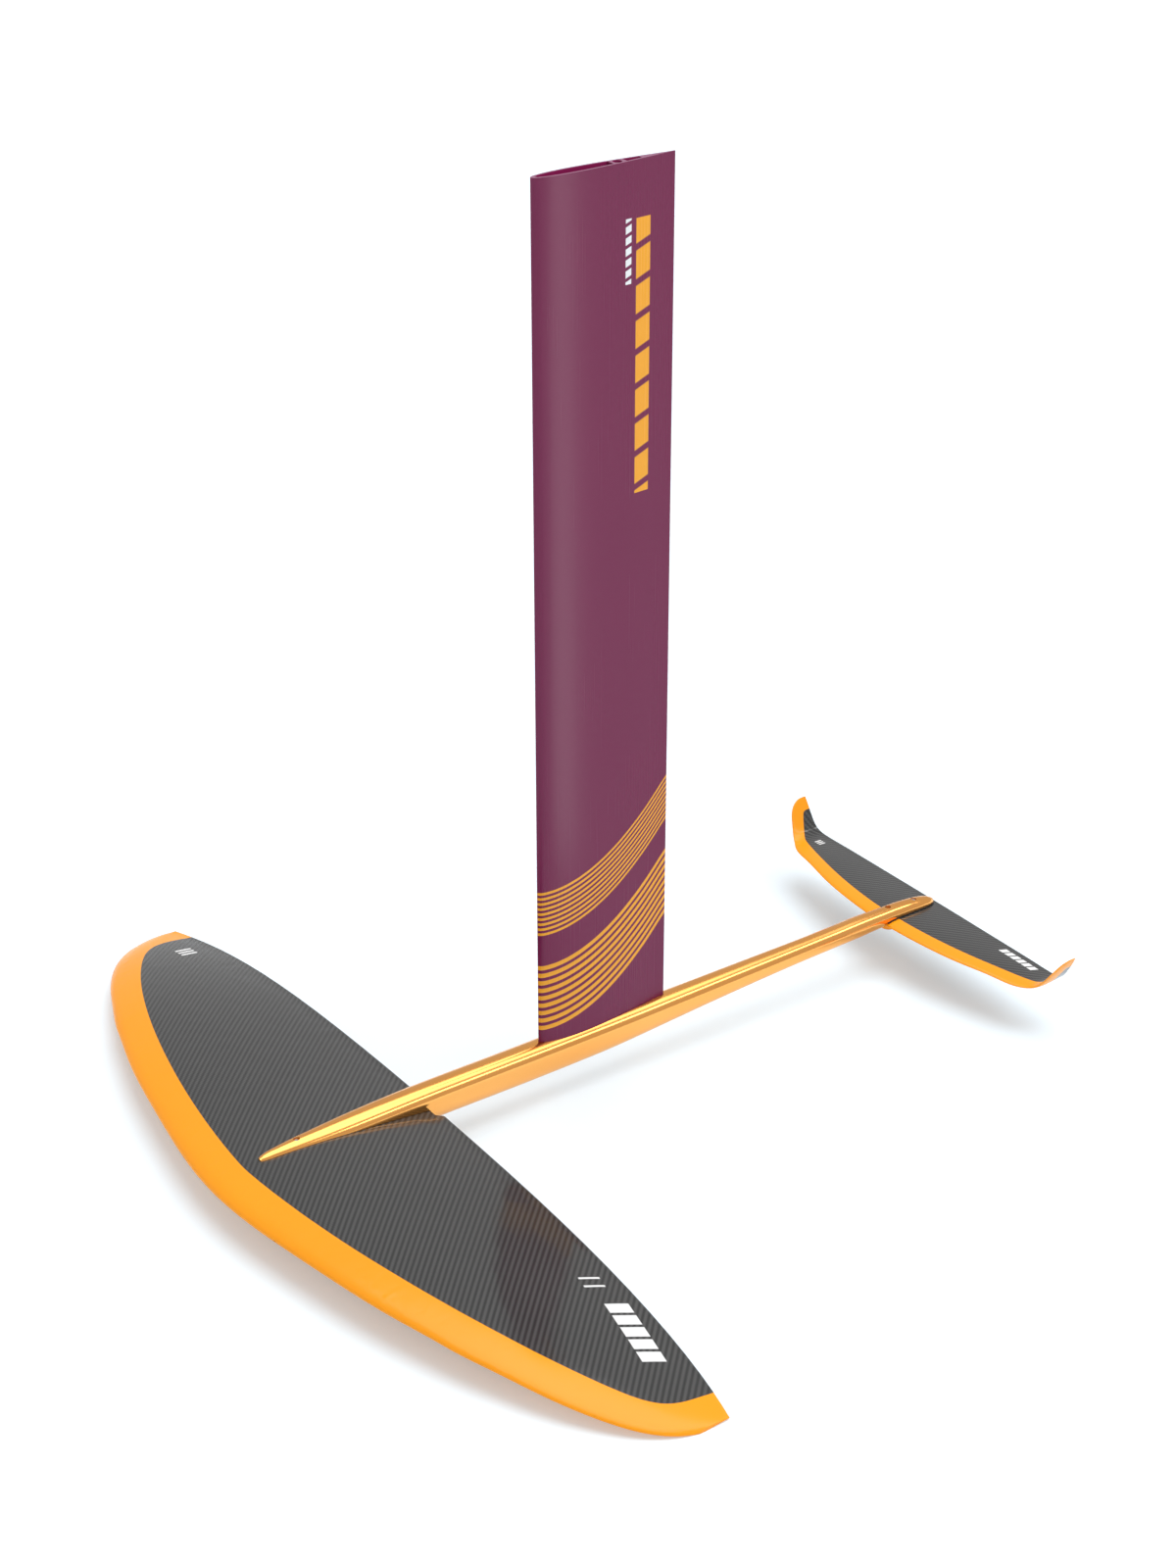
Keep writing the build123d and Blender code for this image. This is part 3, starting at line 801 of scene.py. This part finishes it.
# ---------------------------------------------------------------- dressing the nodes

FUSELAGE = smooth_copy("fuselage_body", "fuselage", 0.005, fuselage_normals)
UPPER = smooth_copy("front_wing_upper_skin", "front_wing", 0.006, wing_normals)
LOWER = smooth_copy("front_wing_lower_skin", "front_wing", 0.006, wing_normals)

SCREWS = [make_screws("mast_screws", M8_SIZE)]
SCREWS += [make_screws(node, M6_SIZE) for node in ("front_wing_screws", "stabiliser_screws")]

assign(plum_anodised(), "mast_extrusion")
assign(orange_anodised(), FUSELAGE, "fuselage_body")
WING = painted_carbon("front_wing_carbon", 0.0018, 1.0, front_wing_line, FRONT_WING_ROWS)
assign(WING, UPPER, LOWER, "front_wing_upper_skin", "front_wing_lower_skin")
STAB = painted_carbon("stabiliser_carbon", 0.0017, -1.0, stabiliser_line, STABILISER_ROWS)
assign(STAB, "stabiliser_upper_skin", "stabiliser_lower_skin")
BARE = worked_metal("bare_aluminium", (0.78, 0.78, 0.80), 0.25, 500.0, (1.0, 1.0, 0.05))
assign(BARE, "mast_foot_block", "front_wing_ferrules", "stabiliser_ferrules")
STEEL = worked_metal("stainless_steel", (0.62, 0.61, 0.60), 0.20, 900.0, (1.0, 1.0, 0.3))
assign(STEEL, *SCREWS, "mast_screws", "front_wing_screws", "stabiliser_screws")
FOAM = closed_foam()
for wing in ("front_wing", "stabiliser"):
    assign(FOAM, f"{wing}_port_core", f"{wing}_starboard_core")
assign(laminate(), "front_wing_root_block", "stabiliser_root_block")
assign(gloss_paint(), "stabiliser_root_pad")
assign(black_plastic(), "tail_shim")


# ---------------------------------------------------------------- floor, lights and camera

FLOOR_Z = CAD_BOX[0][2]
FLOOR_REACH = 60.0
FLOOR_COLOURS = ((0.620, 0.715, 0.780), (0.630, 0.725, 0.790))
FLOOR_GLOW = 0.29
SURROUND_STRENGTH = 0.62
OVERHEAD_STRENGTH = 2.0

# The camera, forward of the mast's leading edge and up from the fuselage's top.
CAMERA_PLACE = (1.29892, 1.91657, 1.48533)
CAMERA_FORWARD = (-0.51286509, -0.72398973, -0.46131146)
CAMERA_LENS = 64.80
CAMERA_SENSOR = 36.0


def aim(thing, forward):
    """Turns a light or the camera to look along a direction."""
    thing.rotation_euler = Vector(forward).to_track_quat("-Z", "Y").to_euler()


def make_floor():
    """A plain pale floor under the lowest point, which follows the front wing when that drops."""
    mesh = bpy.data.meshes.new("floor")
    sides = ((-1, -1), (1, -1), (1, 1), (-1, 1))
    corners = [(x * FLOOR_REACH, y * FLOOR_REACH, FLOOR_Z) for x, y in sides]
    mesh.from_pydata(corners, [], [(0, 1, 2, 3)])
    floor = link_object("floor", mesh)
    floor.parent = frame["bodies"]["front_wing"]
    m = Material("pale_floor")
    m.link("Base Color", m.mix(m.noise(30.0), *FLOOR_COLOURS))
    m.set(Roughness=0.9, Specular_IOR_Level=0.1)
    m.set(Emission_Color=(1, 1, 1, 1), Emission_Strength=FLOOR_GLOW)
    mesh.materials.append(m.data)


def area_light(name, place, target, size, power):
    """A soft rectangular light aimed at a point."""
    data = bpy.data.lights.new(name, "AREA")
    data.shape = "RECTANGLE"
    data.size, data.size_y = size
    data.energy = power
    light = link_object(name, data)
    light.location = place
    light.visible_camera = False
    aim(light, Vector(target) - Vector(place))
    return light


def wide_light(name, forward, angle):
    """A soft light from far away, as wide as an angle in degrees."""
    data = bpy.data.lights.new(name, "SUN")
    data.energy = OVERHEAD_STRENGTH
    data.angle = radians(angle)
    light = link_object(name, data)
    aim(light, forward)
    return light


def make_lights():
    """An even pale surround, two wide lights above, a strip for the fuselage and a mast panel.

    One wide light only shades surfaces and the other only shines on them. The panel lights only
    the mast, and only as a shine.
    """
    world = bpy.data.worlds.new("surround")
    world.use_nodes = True
    background = world.node_tree.nodes["Background"]
    background.inputs["Color"].default_value = (1, 1, 1, 1)
    background.inputs["Strength"].default_value = SURROUND_STRENGTH
    bpy.context.scene.world = world
    wide_light("overhead_soft", (0.28, 0.0, -0.96), 52.0).visible_glossy = False
    wide_light("overhead_shine", (0.0, 0.0, -1.0), 66.0).visible_diffuse = False
    area_light("strip_light", (-1.6, 1.6, 1.3), target=(0.05, 0.0, -0.87), size=(2.6, 0.30), power=14.0)
    middle = (0.06, 0.0, -0.46)
    panel = area_light("mast_panel", (-0.13, 0.42, -0.46), target=middle, size=(0.15, 0.90), power=0.95)
    panel.visible_diffuse = False
    lit = bpy.data.collections.new("mast_panel_lights")
    lit.objects.link(NODES["mast_extrusion"])
    panel.light_linking.receiver_collection = lit


def make_camera():
    """The camera, looking down across the front wing at the mast."""
    data = bpy.data.cameras.new("camera")
    data.sensor_width = CAMERA_SENSOR
    data.lens = CAMERA_LENS
    camera = link_object("camera", data)
    x, y, z = CAMERA_PLACE
    camera.location = (x + MAST_LE, y, z - MAST_EXPOSED)
    aim(camera, CAMERA_FORWARD)
    bpy.context.scene.camera = camera


make_floor()
make_lights()
make_camera()
bpy.context.scene.view_settings.view_transform = "Standard"
